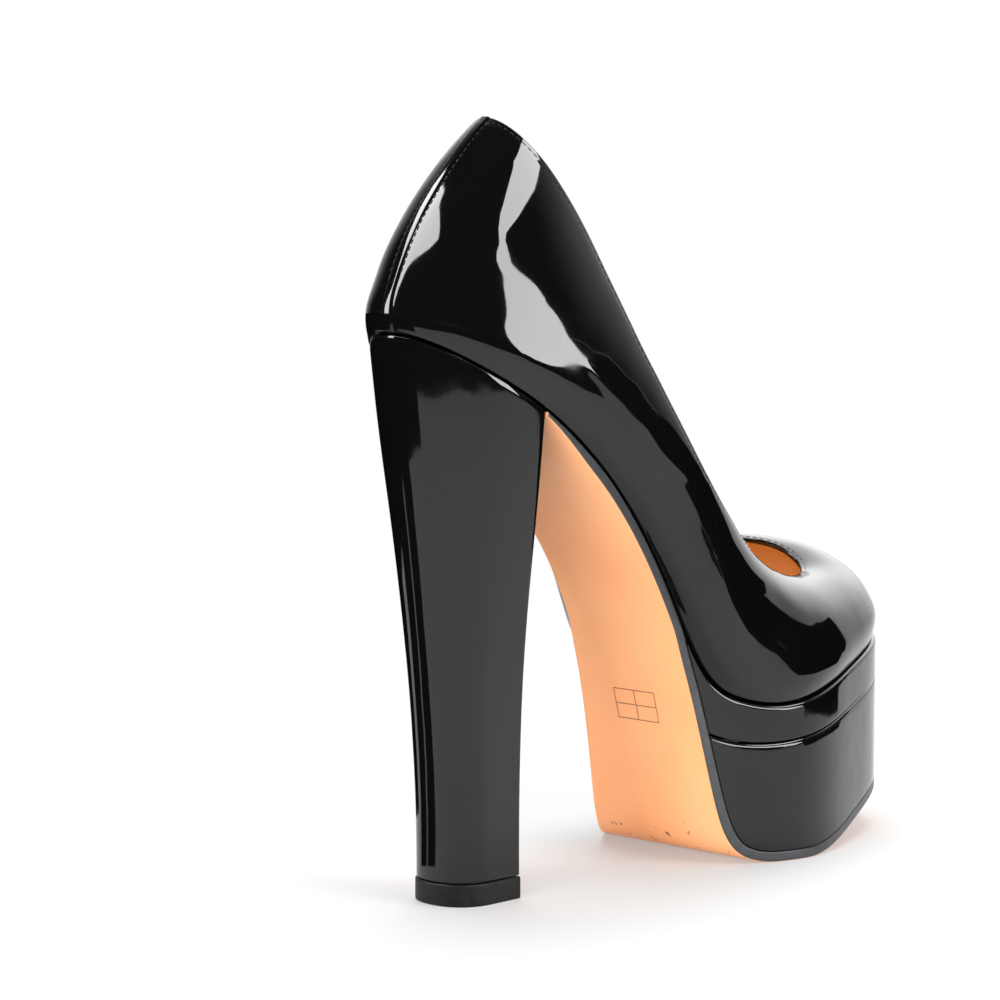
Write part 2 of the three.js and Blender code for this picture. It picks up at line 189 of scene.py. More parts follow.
def metres(x, y, z):
    """Millimetres from the heel seat's back to metres in the part's frame."""
    return np.stack([(x - middle_x) * MM, (y - middle_y) * MM, z * MM], axis=-1)


def curve_through(places, values):
    """Natural cubic through the points, as a function of an array of places."""
    x = np.array(places, float)
    y = np.array(values, float)
    step = np.diff(x)
    system = np.diag(2 * (step[:-1] + step[1:])) + np.diag(step[1:-1], 1) + np.diag(step[1:-1], -1)
    bend = np.zeros(len(x))
    bend[1:-1] = np.linalg.solve(system, 6 * np.diff(np.diff(y) / step))

    def at(place):
        place = np.clip(place, x[0], x[-1])
        i = np.clip(np.searchsorted(x, place) - 1, 0, len(step) - 1)
        b = (place - x[i]) / step[i]
        a = 1 - b
        curve = ((a**3 - a) * bend[i] + (b**3 - b) * bend[i + 1]) * step[i] ** 2 / 6
        return a * y[i] + b * y[i + 1] + curve

    return at


def column(rows, value):
    return curve_through([row[0] for row in rows], [row[value] for row in rows])


def round_column(rows, outer, inner):
    """A column as a closed curve round the shoe: 0 at the back seam, 1 at the toe, 2 at the seam again."""
    lap = [(row[0], row[outer]) for row in rows] + [(2 - row[0], row[inner]) for row in rows[-2:0:-1]]
    knots = [(turn + place, value) for turn in (-2, 0, 2) for place, value in lap]
    return curve_through(*zip(*knots))


feather_y = round_column(feather_rows, 1, 2)
topline_y = round_column(topline_rows, 1, 2)
topline_rise = round_column(topline_rows, 3, 4)
foot_out, foot_up, top_out, top_down = (round_column(wall_rows, key, key) for key in (1, 2, 3, 4))
bed_lift, bed_spring = column(bed_rows, 1), column(bed_rows, 2)
tier_lift, tier_spring = column(tier_line_rows, 1), column(tier_line_rows, 2)
back_face = column(platform_back_rows, 1)
heel_width_share, heel_back_share = column(heel_rows, 1), column(heel_rows, 2)


def mix(a, b, share):
    return a + (b - a) * share


def smooth_step(x, low, high):
    share = np.clip((x - low) / (high - low), 0, 1)
    return share * share * (3 - 2 * share)


def along(turn):
    return (1 - np.cos(np.pi * turn)) / 2


def turn_at(x):
    return math.acos(1 - 2 * x / shoe_length) / math.pi


def bed(x):
    """Height of the last's bed."""
    place = x / shoe_length
    rise = bed_lift(place) * (heel_height - platform_height)
    return platform_height + rise + bed_spring(place) * toe_spring


def tier_line(x):
    place = (x - platform_back) / (shoe_length - platform_back)
    rise = tier_lift(place) * (heel_height - platform_height)
    return lower_tier_height + rise + tier_spring(place) * toe_spring


def sole_margin(x):
    return tier_margin * smooth_step(x, platform_back, stand_end)


def sole_thickness(x):
    return mix(outsole_skive, outsole_thickness, smooth_step(x, breast_place, breast_place + skive_length))


def lengths_along(*coordinates):
    """Length from the start of a line to each of its points."""
    steps = np.sqrt(sum(np.diff(values) ** 2 for values in coordinates))
    return np.concatenate([[0], np.cumsum(steps)])


def shifted(line, offset):
    """A side line, as x and z arrays, moved along its normal, up where offset is positive."""
    x, z = line
    run_x, run_z = np.gradient(x), np.gradient(z)
    run = np.hypot(run_x, run_z)
    return x - offset * run_z / run, z + offset * run_x / run


def evened(line, spacing, softness):
    """The same line in even steps, its kinks softened over some millimetres."""
    x, z = line
    length = lengths_along(x, z)
    even = np.linspace(0, length[-1], int(length[-1] / spacing))
    x, z = np.interp(even, length, x), np.interp(even, length, z)
    reach = int(3 * softness / spacing)
    weights = np.exp(-0.5 * (np.arange(-reach, reach + 1) * spacing / softness) ** 2)
    weights /= weights.sum()

    def soften(values):
        start = 2 * values[0] - values[reach:0:-1]
        end = 2 * values[-1] - values[-2 : -reach - 2 : -1]
        return np.convolve(np.concatenate([start, values, end]), weights, "valid")

    return soften(x), soften(z)


# Side lines: points of each stretch, then spacing and softness of the whole line in millimetres
line_points = 400
line_spacing = 0.25
line_softness = 1.6


def tread_line():
    """Underside of the outsole from the breast to the toe."""
    share = np.linspace(0, 1, line_points)
    shank_x = mix(breast_place, platform_back, share)
    shank_x, shank_z = shifted((shank_x, bed(shank_x)), -bed_gap - sole_thickness(shank_x))
    kept = shank_x < platform_back - bed_gap
    toe_z = tread_spring * np.sin(share * np.pi / 2) ** toe_roll
    x = np.concatenate([
        shank_x[kept],
        mix(platform_back, stand_start, share),
        mix(stand_start, stand_end, share[1:]),
        mix(stand_end, shoe_length + tier_margin, share[1:]),
    ])
    z = np.concatenate([shank_z[kept], platform_height * back_face(share), 0 * share[1:], toe_z[1:]])
    x, z = evened((x, z), line_spacing, line_softness)
    return x, np.maximum(z, 0)


def heights(line):
    return lambda x: np.interp(x, *line)


tread = tread_line()
sole_bottom = heights(tread)
sole_top = heights(shifted(tread, sole_thickness(tread[0])))
tier_floor = heights(shifted(tread, sole_thickness(tread[0]) + gap))


# Step of turn or rise over which a slope is taken, and points of the finely divided edges
fine_step = 0.004
edge_points = 3000


def feather_point(turn, inset=0.0):
    """Bottom edge of the upper in plan, moved inwards."""
    before, after = turn - fine_step, turn + fine_step
    x, y = shoe_length * along(turn), ball_width * feather_y(turn)
    run_x = shoe_length * (along(after) - along(before))
    run_y = ball_width * (feather_y(after) - feather_y(before))
    run = np.hypot(run_x, run_y)
    return x - inset * run_y / run, y + inset * run_x / run


def even_turns(back_turn, height, count):
    """Turns from the toe tip back, evenly spaced along the edge that lies at that height."""
    turn = np.linspace(1, back_turn, edge_points)
    x, y = feather_point(turn)
    length = lengths_along(x, y, height(x))
    return np.interp(np.linspace(0, length[-1], count + 1), length, turn)


def wall_point(turn, rise):
    """Outer face of the upper. rise: 0 at the bottom edge, 1 at the top edge."""
    foot_x = shoe_length * along(turn)
    foot = np.stack([foot_x, ball_width * feather_y(turn), bed(foot_x) + bed_gap], axis=-1)
    top = np.stack([
        back_lean + topline_length * along(turn),
        opening_width * topline_y(turn),
        mix(platform_height + throat_height, heel_height + back_height, topline_rise(turn)),
    ], axis=-1)
    out = np.stack([-np.cos(np.pi * turn), -np.sin(np.pi * turn), 0 * turn], axis=-1)
    up = np.array([0.0, 0.0, 1.0])
    reach = np.linalg.norm(top - foot, axis=-1)
    lower = foot + out * (foot_out(turn) * reach)[..., None] + up * (foot_up(turn) * reach)[..., None]
    upper = top + out * (top_out(turn) * reach)[..., None] - up * (top_down(turn) * reach)[..., None]
    b = rise[..., None]
    a = 1 - b
    return a**3 * foot + 3 * a**2 * b * lower + 3 * a * b**2 * upper + b**3 * top


def wall_normal(turn, rise):
    low, high = np.maximum(rise - fine_step, 0), np.minimum(rise + fine_step, 1)
    forward = wall_point(turn + fine_step, rise) - wall_point(turn - fine_step, rise)
    upward = wall_point(turn, high) - wall_point(turn, low)
    normal = np.cross(forward, upward)
    return normal / np.linalg.norm(normal, axis=-1, keepdims=True)


def wall_speed(turn, rise):
    """Millimetres along the wall for each unit of rise, near the top or bottom edge."""
    step = 0.01
    low, high = np.clip(rise - step, 0, 1), np.clip(rise + step, 0, 1)
    length = np.linalg.norm(wall_point(turn, high) - wall_point(turn, low), axis=-1)
    return length / (high - low)


def seam_distance(turn, rise):
    """Millimetres from the middle of the back seam, along the wall."""
    here = np.full_like(rise, fine_step)
    speed = np.linalg.norm(wall_point(here, rise) - wall_point(0 * here, rise), axis=-1) / fine_step
    return np.minimum(turn, 2 - turn) * speed


def bell(x, width):
    return np.exp(-0.5 * (x / width) ** 2)


# Relief of the patent in millimetres: strip over the back seam, stitch groove, roll over the insole's edge
seam_width = 3.0
seam_rise = 0.4
seam_flank = 0.35
stitch_depth = 1.7
groove_depth = 0.10
groove_width = 0.35
roll_height = 0.8
roll_place = 7.5
roll_width = 4.0
roll_fade = (2.0, 12.0)

# Waves of the stretched patent: height and length in millimetres
skin_waves = [(0.16, 24.0), (0.09, 10.0), (0.022, 5.0)]
heel_waves = [(0.06, 22.0), (0.018, 7.0)]

# Creases of the outer side: height and width in millimetres, then the way as turn and rise
creases = [
    (0.16, 1.0, [
        (0.292, 0.462), (0.304, 0.477), (0.323, 0.492), (0.337, 0.513), (0.353, 0.533),
        (0.365, 0.563), (0.388, 0.573), (0.411, 0.648), (0.435, 0.769),
    ]),
    (0.12, 1.1, [(0.549, 0.623), (0.579, 0.573), (0.600, 0.508), (0.616, 0.447), (0.628, 0.392)]),
]
crease_points = 90


def crease_relief(points):
    """Height of the creases at points of the wall."""
    total = np.zeros(len(points))
    for height, width, way in creases:
        knots = np.linspace(0, len(way) - 1, crease_points)
        turn, rise = (np.interp(knots, range(len(way)), values) for values in zip(*way))
        apart = np.full(len(points), np.inf)
        for place in wall_point(turn, rise):
            apart = np.minimum(apart, np.linalg.norm(points - place, axis=1))
        total += height * bell(apart, width)
    return total


def skin_relief(turn, rise, down):
    """How far the patent stands out of the last's smooth wall, in millimetres."""
    half = seam_width / 2
    seam = seam_rise * (1 - smooth_step(seam_distance(turn, rise), half - seam_flank, half + seam_flank))
    groove = -groove_depth * bell(down - stitch_depth, groove_width)
    roll = roll_height * bell(rise * wall_speed(turn, 0 * turn) - roll_place, roll_width)
    return seam + groove + roll * smooth_step(down, *roll_fade)


def unevenness(points, waves):
    """Slow unevenness of stretched patent: sum of waves of some height and length, all in millimetres."""
    total = np.zeros(len(points))
    for height, length in waves:
        total += height * np.array([noise.noise(Vector(point) / length) for point in points])
    return total


def finished(name, bm, finishes):
    """Mesh object from a bmesh, with its materials, riding on the shoe."""
    mesh = bpy.data.meshes.new(name)
    bm.to_mesh(mesh)
    bm.free()
    for finish in finishes:
        mesh.materials.append(finish)
    mesh.polygons.foreach_set("use_smooth", [True] * len(mesh.polygons))
    piece = bpy.data.objects.new(name, mesh)
    bpy.context.scene.collection.objects.link(piece)
    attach(piece, "root")
    return piece


# Corners nearer than this, in metres, are one corner
weld_distance = 1e-7


def crossings(columns, rows):
    """Grid with a uv map, and the column and the row of each of its crossings."""
    bm = bmesh.new()
    bm.loops.layers.uv.new("surface")
    bmesh.ops.create_grid(bm, x_segments=columns, y_segments=rows, size=0.5, calc_uvs=True)
    share = np.array([vert.co[:2] for vert in bm.verts]) + 0.5
    return bm, np.rint(share[:, 0] * columns).astype(int), np.rint(share[:, 1] * rows).astype(int)


def welded(bm, points):
    """Moves the crossings to their points and joins those that meet."""
    for vert, point in zip(bm.verts, points):
        vert.co = point
    bmesh.ops.remove_doubles(bm, verts=bm.verts, dist=weld_distance)


def laid_out(name, columns, rows, place, finishes, finish_of_row=None):
    """Closed piece from a grid whose crossings place(column, row) lays out; the last row meets the first."""
    bm, column_of, row_of = crossings(columns, rows)
    if finish_of_row is not None:
        for face in bm.faces:
            row = int((face.calc_center_median().y + 0.5) * rows)
            face.material_index = int(finish_of_row[row])
    welded(bm, place(column_of, row_of % rows))
    rim = [edge for edge in bm.edges if edge.is_boundary]
    if rim:
        filled = bmesh.ops.holes_fill(bm, edges=rim)
        bmesh.ops.triangulate(bm, faces=filled["faces"])
    bmesh.ops.recalc_face_normals(bm, faces=bm.faces)
    return finished(name, bm, finishes)


def quarter(count):
    """Sines and cosines of a quarter turn in even steps."""
    angle = np.linspace(0, np.pi / 2, count + 1)
    return np.sin(angle), np.cos(angle)


def between(count):
    """Even shares between 0 and 1, without the two ends."""
    return np.linspace(0, 1, count + 2)[1:-1]


# Columns of the upper along one side and beside the back seam, reach of the close ones, start of the others
upper_columns = 190
seam_columns = 15
seam_reach = 4.0
seam_free = 1.1


def seam_turns():
    """Turns of the upper's columns: even along its edge, and close together across the back seam."""
    side = even_turns(0, bed, upper_columns)
    speed = seam_distance(np.array([1.0]), np.array([0.5]))[0]
    across_seam = np.linspace(0, seam_reach, seam_columns) / speed
    side = np.concatenate([side[side > across_seam[-1] * seam_free], across_seam])
    return np.sort(np.concatenate([side, 2 - side[(side > 0) & (side < 1)]]))


def wall_shell(name, section, finishes, relief=None):
    """Ring of wall from rows of share, up from the foot, down from the rim, depth, reach under the foot."""
    turns = seam_turns()

    def place(column_of, row_of):
        turn = turns[column_of % len(turns)]
        share, up, down, depth, under = section[row_of].T
        foot_speed = wall_speed(turn, 0 * turn)
        top_speed = wall_speed(turn, 0 * turn + 1)
        rise = np.clip(share + up / foot_speed - down / top_speed, 0, 1)
        if relief is not None:
            depth = depth - relief(turn, rise, depth)
        points = wall_point(turn, rise) - wall_normal(turn, rise) * depth[:, None]
        x, y = feather_point(turn, under)
        margin = np.stack([x, y, bed(x) + bed_gap + up], axis=-1)
        return metres(*np.where(under[:, None] > 0, margin, points).T)

    section = np.array([row if len(row) == 5 else (*row, 0) for row in section])
    return laid_out(name, len(turns), len(section), place, finishes)


# Steps of a slab's rounded edges, and divisions of the slabs along the edge, across and up the side
round_steps = 4
sock_divisions = (160, 22, 2)
sole_divisions = (300, 58, 4)
tier_divisions = (220, 18, 16)


def slab_section(low_round, high_round, across_rows, side_rows):
    """Closed section of a slab as rows of place across, inset, share of height, up, down."""
    sine, cosine = quarter(round_steps)
    across = between(across_rows)
    outer = [(low_round * (1 - s), 0, low_round * (1 - c), 0) for s, c in zip(sine, cosine)]
    outer += [(0, s, low_round, high_round) for s in between(side_rows)]
    outer += [(high_round * (1 - c), 1, 0, high_round * (1 - s)) for s, c in zip(sine, cosine)]
    section = [(0, *row) for row in outer]
    section += [(a, high_round, 1, 0, 0) for a in across]
    section += [(1, *row) for row in reversed(outer)]
    section += [(a, low_round, 0, 0, 0) for a in reversed(across)]
    return np.array(section), len(outer)


def slab(name, turns, margin, bottom, top, section, finishes, finish_of_row=None):
    """Slab between two heights inside the shoe's outline, from the toe back to the last turn."""

    def place(column_of, row_of):
        turn = turns[column_of]
        across, inset, share, up, down = section[row_of].T
        inset = inset - margin(shoe_length * along(turn))
        outer_x, outer_y = feather_point(turn, inset)
        inner_x, inner_y = feather_point(2 - turn, inset)
        x, y = mix(outer_x, inner_x, across), mix(outer_y, inner_y, across)
        return metres(x, y, mix(bottom(x) + up, top(x) - down, share))

    return laid_out(name, len(turns) - 1, len(section), place, finishes, finish_of_row)


def even_points(x, y, count):
    """An open line as evenly spaced points."""
    length = lengths_along(x, y)
    even = np.linspace(0, length[-1], count)
    return np.interp(even, length, x), np.interp(even, length, y)


# Points of the heel's outline, of its back and of its breast, and the softness of its corners in points
outline_points = 600
heel_back_points = 260
heel_breast_points = 90
corner_softness = 2.2


def heel_outlines():
    """Heel in plan at its base and at its seat, from the outer breast corner round the back to the inner."""
    half = heel_base_width / 2
    angle = np.linspace(-np.pi / 2, np.pi / 2, outline_points)
    power = 2 / heel_base_squareness
    back_x = heel_base_place + heel_base_round * (1 - np.abs(np.cos(angle)) ** power)
    back_y = half * np.sign(angle) * np.abs(np.sin(angle)) ** power
    base = np.concatenate([[breast_place], back_x, [breast_place]]), np.concatenate([[-half], back_y, [half]])
    breast = turn_at(breast_place)
    seat = feather_point(np.linspace(breast, -breast, outline_points))
    return even_points(*base, heel_back_points), even_points(*seat, heel_back_points)


(base_x, base_y), (seat_x, seat_y) = heel_outlines()


def closed_soft(values, softness):
    """Closed ring of values, its corners softened over some points; rings run along the last axis."""
    reach = int(3 * softness)
    weights = np.exp(-0.5 * (np.arange(-reach, reach + 1) / softness) ** 2)
    weights /= weights.sum()
    return sum(w * np.roll(values, k, axis=-1) for w, k in zip(weights, range(-reach, reach + 1)))


def heel_plan(height):
    """Heel in plan at shares of its height, a ring in each row, its breast straight between its corners."""
    width = heel_width_share(height)[:, None]
    back = heel_back_share(height)[:, None]
    x, y = mix(base_x, seat_x, back), mix(base_y, seat_y, width)
    share = between(heel_breast_points)
    breast_x, breast_y = mix(x[:, -1:], x[:, :1], share), mix(y[:, -1:], y[:, :1], share)
    x, y = np.concatenate([x, breast_x], axis=1), np.concatenate([y, breast_y], axis=1)
    return closed_soft(x, corner_softness), closed_soft(y, corner_softness)


# Waves of the heel's patent: how much slower they run down the heel, and the share of it that stays calm
heel_wave_stretch = 0.4
heel_calm_foot = 0.1


def heel_piece(name, section, top, finishes, waves=()):
    """Block of heel from rows of height share, grow, rise, share of the way to the middle."""
    height, grow, lift, close = section.T
    ring_x, ring_y = heel_plan(height)
    mid_x = mix(ring_x.max(axis=1), ring_x.min(axis=1), heel_centre)[:, None]
    away = np.hypot(ring_x - mid_x, ring_y)
    out_x, out_y = (ring_x - mid_x) / away, ring_y / away
    x, y = ring_x + out_x * grow[:, None], ring_y + out_y * grow[:, None]
    x, y = mix(x, mid_x, close[:, None]), mix(y, 0 * y, close[:, None])
    z = top(x, height[:, None]) + lift[:, None]
    if waves:
        points = np.stack([x, y, heel_wave_stretch * z], axis=-1).reshape(-1, 3)
        uneven = unevenness(points, waves).reshape(x.shape)
        uneven *= (close[:, None] == 0) * smooth_step(height, 0.0, heel_calm_foot)[:, None]
        x, y = x + out_x * uneven, y + out_y * uneven
    columns = x.shape[1]
    bm, column_of, row_of = crossings(columns, len(section) - 1)
    welded(bm, metres(x, y, z)[row_of, column_of % columns])
    bmesh.ops.recalc_face_normals(bm, faces=bm.faces)
    return finished(name, bm, finishes)


def stitch_row(name, turn, rise, above, stitch):
    """Row of stitches, each a small bead, on the line of turns and rises at some height over the wall."""
    pitch, length, thickness = stitch
    run = lengths_along(*wall_point(turn, rise).T)
    even = np.arange(0, run[-1], pitch)
    turn, rise, above = (np.interp(even, run, values) for values in (turn, rise, above))
    normals = wall_normal(turn, rise)
    places = metres(*(wall_point(turn, rise) + normals * above[:, None]).T)
    sized = Matrix.Diagonal((length / 2 * MM, thickness / 2 * MM, thickness / 2 * MM, 1))
    bm = bmesh.new()
    for start, end, normal in zip(places[:-1], places[1:], normals):
        start, end, normal = Vector(start), Vector(end), Vector(normal).normalized()
        forward = (end - start).normalized()
        side = normal.cross(forward).normalized()
        turned = Matrix((forward, side, normal)).transposed().to_4x4()
        at = Matrix.Translation((start + end) / 2)
        bmesh.ops.create_uvsphere(bm, u_segments=8, v_segments=5, radius=1, matrix=at @ turned @ sized)
    finished(name, bm, [black_thread])


def nodes_of(name):
    """New material with its node tree and its surface shader."""
    material = bpy.data.materials.new(name)
    material.use_nodes = True
    tree = material.node_tree
    return material, tree, tree.nodes["Principled BSDF"]


def noise_at(tree, scale, detail, roughness=0.5):
    """Noise on the piece's own coordinates."""
    coordinates = tree.nodes.new("ShaderNodeTexCoord")
    texture = tree.nodes.new("ShaderNodeTexNoise")
    texture.inputs["Scale"].default_value = scale
    texture.inputs["Detail"].default_value = detail
    texture.inputs["Roughness"].default_value = roughness
    tree.links.new(coordinates.outputs["Object"], texture.inputs["Vector"])
    return texture.outputs["Fac"]


def ramp(tree, value, stops):
    """Colours or greys along a value from 0 to 1."""
    node = tree.nodes.new("ShaderNodeValToRGB")
    elements = node.color_ramp.elements
    while len(elements) < len(stops):
        elements.new(0.5)
    for element, (position, colour) in zip(elements, stops):
        element.position = position
        element.color = (*colour, 1)
    tree.links.new(value, node.inputs["Fac"])
    return node.outputs["Color"]


def bumps(tree, shader, value, distance, strength, below=None):
    """Bump on the shader, stacked on another bump where one is given."""
    node = tree.nodes.new("ShaderNodeBump")
    node.inputs["Distance"].default_value = distance
    node.inputs["Strength"].default_value = strength
    tree.links.new(value, node.inputs["Height"])
    if below is not None:
        tree.links.new(below, node.inputs["Normal"])
    tree.links.new(node.outputs["Normal"], shader.inputs["Normal"])
    return node.outputs["Normal"]


def grey(value):
    return (value, value, value)


def patent_leather(name, ripple):
    material, tree, shader = nodes_of(name)
    shader.inputs["Base Color"].default_value = (0.0022, 0.0022, 0.0022, 1)
    shader.inputs["IOR"].default_value = 1.5
    rough = ramp(tree, noise_at(tree, 60, 4), [(0.35, grey(0.03)), (0.75, grey(0.075))])
    tree.links.new(rough, shader.inputs["Roughness"])
    bumps(tree, shader, noise_at(tree, 45, 2.5, 0.45), ripple, 0.35)
    return material


def maths(tree, operation, first, second=0.0):
    """One step of reckoning on sockets or numbers."""
    node = tree.nodes.new("ShaderNodeMath")
    node.operation = operation
    for socket, value in zip(node.inputs, (first, second)):
        if isinstance(value, float):
            socket.default_value = value
        else:
            tree.links.new(value, socket)
    return node.outputs["Value"]


def faded(tree, value, low_at, high_at, high=1.0):
    """Smooth rise from 0 while a value goes from one place to another."""
    node = tree.nodes.new("ShaderNodeMapRange")
    node.interpolation_type = "SMOOTHSTEP"
    node.inputs["From Min"].default_value = low_at
    node.inputs["From Max"].default_value = high_at
    node.inputs["To Max"].default_value = high
    tree.links.new(value, node.inputs["Value"])
    return node.outputs["Result"]


def blended(tree, share, below, colour):
    """A colour laid over what is below it, where the share says so."""
    node = tree.nodes.new("ShaderNodeMix")
    node.data_type = "RGBA"
    tree.links.new(share, node.inputs["Factor"])
    tree.links.new(below, node.inputs["A"])
    node.inputs["B"].default_value = (*colour, 1)
    return node.outputs["Result"]


def own_coordinates(tree):
    parts = tree.nodes.new("ShaderNodeSeparateXYZ")
    coordinates = tree.nodes.new("ShaderNodeTexCoord")
    tree.links.new(coordinates.outputs["Object"], parts.inputs["Vector"])
    return parts.outputs["X"], parts.outputs["Y"], parts.outputs["Z"]


# Pressed frame on the back of the platform, in metres: middle, half sizes, half widths of its lines and bed
stamp_y, stamp_z = -0.0048, 0.0471
stamp_half_width, stamp_half_height = 0.0080, 0.0046
stamp_line, stamp_line_bed = 0.00022, 0.000088


def stamp_lines(tree):
    """Lines of an empty frame of two by two fields."""
    _, y, z = own_coordinates(tree)
    across = maths(tree, "ABSOLUTE", maths(tree, "SUBTRACT", y, stamp_y))
    upright = maths(tree, "ABSOLUTE", maths(tree, "SUBTRACT", z, stamp_z))
    lines = []
    for along_line, to_line, half_length, half_step in (
        (upright, across, stamp_half_height, stamp_half_width),
        (across, upright, stamp_half_width, stamp_half_height),
    ):
        to_outer = maths(tree, "ABSOLUTE", maths(tree, "SUBTRACT", to_line, half_step))
        nearest = maths(tree, "MINIMUM", to_line, to_outer)
        lines.append(maths(tree, "MAXIMUM", nearest, maths(tree, "SUBTRACT", along_line, half_length)))
    return faded(tree, maths(tree, "MINIMUM", *lines), stamp_line, stamp_line_bed)


def scuff_specks(tree):
    """Small dark specks where the sole first touches the floor."""
    _, _, z = own_coordinates(tree)
    specks = faded(tree, noise_at(tree, 420, 2, 0.6), 0.66, 0.70)
    patches = faded(tree, noise_at(tree, 90, 2, 0.5), 0.46, 0.58)
    low = faded(tree, z, 0.015, 0.008)
    return maths(tree, "MULTIPLY", maths(tree, "MULTIPLY", specks, patches), low)


def sole_leather(name):
    material, tree, shader = nodes_of(name)
    base = ramp(tree, noise_at(tree, 14, 3, 0.5), [
        (0.30, (0.82, 0.330, 0.130)),
        (0.5, (0.88, 0.375, 0.155)),
        (0.72, (0.90, 0.43, 0.19)),
    ])
    pressed = stamp_lines(tree)
    specks = scuff_specks(tree)
    base = blended(tree, pressed, base, (0.42, 0.14, 0.055))
    base = blended(tree, specks, base, (0.16, 0.07, 0.04))
    tree.links.new(base, shader.inputs["Base Color"])
    rough = ramp(tree, noise_at(tree, 220, 5, 0.6), [(0.3, grey(0.42)), (0.7, grey(0.56))])
    tree.links.new(rough, shader.inputs["Roughness"])
    fine = bumps(tree, shader, noise_at(tree, 1400, 6, 0.6), 0.00005, 0.5)
    soft = bumps(tree, shader, noise_at(tree, 90, 3), 0.0002, 0.25, below=fine)
    bumps(tree, shader, maths(tree, "MULTIPLY", pressed, -1.0), 0.0003, 1.0, below=soft)
    return material


def plain_finish(name, patches, low, high, roughness, grain, distance, strength, specular=0.5):
    """Material between two colours in soft patches, with a fine grain. patches, grain: scale and detail."""
    material, tree, shader = nodes_of(name)
    base = ramp(tree, noise_at(tree, *patches), [(0.3, low), (0.7, high)])
    tree.links.new(base, shader.inputs["Base Color"])
    shader.inputs["Roughness"].default_value = roughness
    shader.inputs["Specular IOR Level"].default_value = specular
    bumps(tree, shader, noise_at(tree, *grain), distance, strength)
    return material


def tan_leather(name, low, high):
    return plain_finish(name, (25, 4), low, high, 0.5, (1600, 4), 0.00008, 0.6)


patent = patent_leather("patent_leather", 0.0004)
tier_patent = patent_leather("patent_leather_round_cork", 0.0011)
tan_sole = sole_leather("tan_sole_leather")
paint_low, paint_high = (0.020, 0.022, 0.025), (0.034, 0.036, 0.040)
dark_edge = plain_finish("painted_sole_edge", (300, 3), paint_low, paint_high, 0.38, (900, 4), 0.00006, 0.6)
tan_lining = tan_leather("tan_lining_leather", (0.89, 0.53, 0.235), (0.93, 0.60, 0.285))
# The sock is the lining's tan leather made darker: its own tan plus painted shade, which tones down the light
# falling on the insole inside the shoe
painted_shade_tan_sock = tan_leather("tan_sock_leather_painted_shade", (0.70, 0.38, 0.15), (0.74, 0.43, 0.18))
black_rubber = plain_finish(
    "black_rubber", (500, 3), grey(0.003), grey(0.007), 0.5, (1200, 4), 0.0001, 0.7, specular=0.22
)
black_thread = plain_finish(
    "black_thread", (900, 2), grey(0.006), grey(0.016), 0.6, (3000, 2), 0.00005, 0.8, specular=0.25
)

# Edges of the upper in millimetres: patent, its rounded rim and foot, and its margin turned in under the foot
patent_thickness = 1.0
rim_round = 0.55
foot_round = 0.9
trim_drop = 1.6
trim_slope = 0.2
lasting_rise = 1.2
lasting_margin = 2.4
lasting_margin_thickness = 0.6
upper_rows = 65


def build_upper():
    sine, cosine = quarter(5)
    rim = [(1, 0, rim_round * (1 - s), rim_round * (1 - c)) for s, c in zip(sine, cosine)]
    rim += [(1, 0, rim_round * (1 - c), wall - rim_round * (1 - s)) for s, c in zip(sine, cosine)]
    rim += [(1, 0, trim_drop, wall), (1, 0, trim_drop + trim_slope, patent_thickness)]
    share = between(upper_rows)
    inner_drop = (trim_drop + trim_slope) * share
    section = [(0, foot_round * (1 - c), 0, foot_round * (1 - s)) for s, c in zip(sine, cosine)]
    section += [(s, foot_round * (1 - s), rim_round * s, 0) for s in share]
    section += rim
    section += [
        (s, lasting_rise * (1 - s), drop, patent_thickness)
        for s, drop in zip(share[::-4], inner_drop[::-4])
    ]
    section += [(0, lasting_rise, 0, patent_thickness), (0, lasting_rise, 0, wall)]
    section += [(0, lasting_margin_thickness, 0, 0, lasting_margin), (0, 0, 0, 0, lasting_margin)]

    def relief(turn, rise, depth):
        outer = depth < rim_round
        points = wall_point(turn, rise)
        waves = np.zeros(len(turn))
        waves[outer] = unevenness(points[outer], skin_waves) + crease_relief(points[outer])
        below_rim = (1 - rise) * wall_speed(turn, 0 * turn + 1)
        return np.where(outer, skin_relief(turn, rise, below_rim) + waves, 0)

    piece = wall_shell("upper_patent", section, [patent], relief)
    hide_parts("upper")


# Lining in millimetres: distances from the patent, the wall's inside and the edges, and its fold at the foot
lining_gap = 0.04
lining_inset = 0.02
lining_clearance = 0.1
lining_round = 0.15
lining_fold = 1.9
lining_fold_rise = 0.3
lining_rows = 46


def build_lining():
    outside, inside = patent_thickness + lining_gap, wall - lining_inset
    foot_rise, rim_drop = lasting_rise + lining_clearance, trim_drop + lining_clearance
    soft_drop = rim_drop + lining_round
    share = np.linspace(0, 1, lining_rows)
    section = [(s, foot_rise * (1 - s), soft_drop * s, outside) for s in share[::3]]
    section += [(1, 0, rim_drop, outside + lining_round), (1, 0, rim_drop, inside - lining_round)]
    section += [(s, foot_rise * (1 - s), soft_drop * s, inside) for s in share[::-1]]
    section += [(0, foot_rise + lining_fold_rise, 0, 0, lining_fold), (0, foot_rise, 0, 0, lining_fold)]
    piece = wall_shell("upper_lining", section, [tan_lining])
    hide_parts("upper")


# Covered insole: how far it stays inside the upper's edge, and its bevels, in millimetres
sock_inset = 1.25
sock_low_round = 1.5
sock_high_round = 0.5


def build_insole():
    columns, across, side_rows = sock_divisions
    section, _ = slab_section(sock_low_round, sock_high_round, across, side_rows)
    dark = np.ones(len(section), int)
    dark[round_steps : -across - round_steps - 1] = 0
    piece = slab(
        "insole_sock",
        even_turns(0, bed, columns),
        lambda x: 0 * x - sock_inset,
        lambda x: bed(x) + bed_gap,
        lambda x: bed(x) + bed_gap + insole_thickness,
        section,
        [painted_shade_tan_sock, dark_edge],
        dark,
    )
    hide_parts("insole")


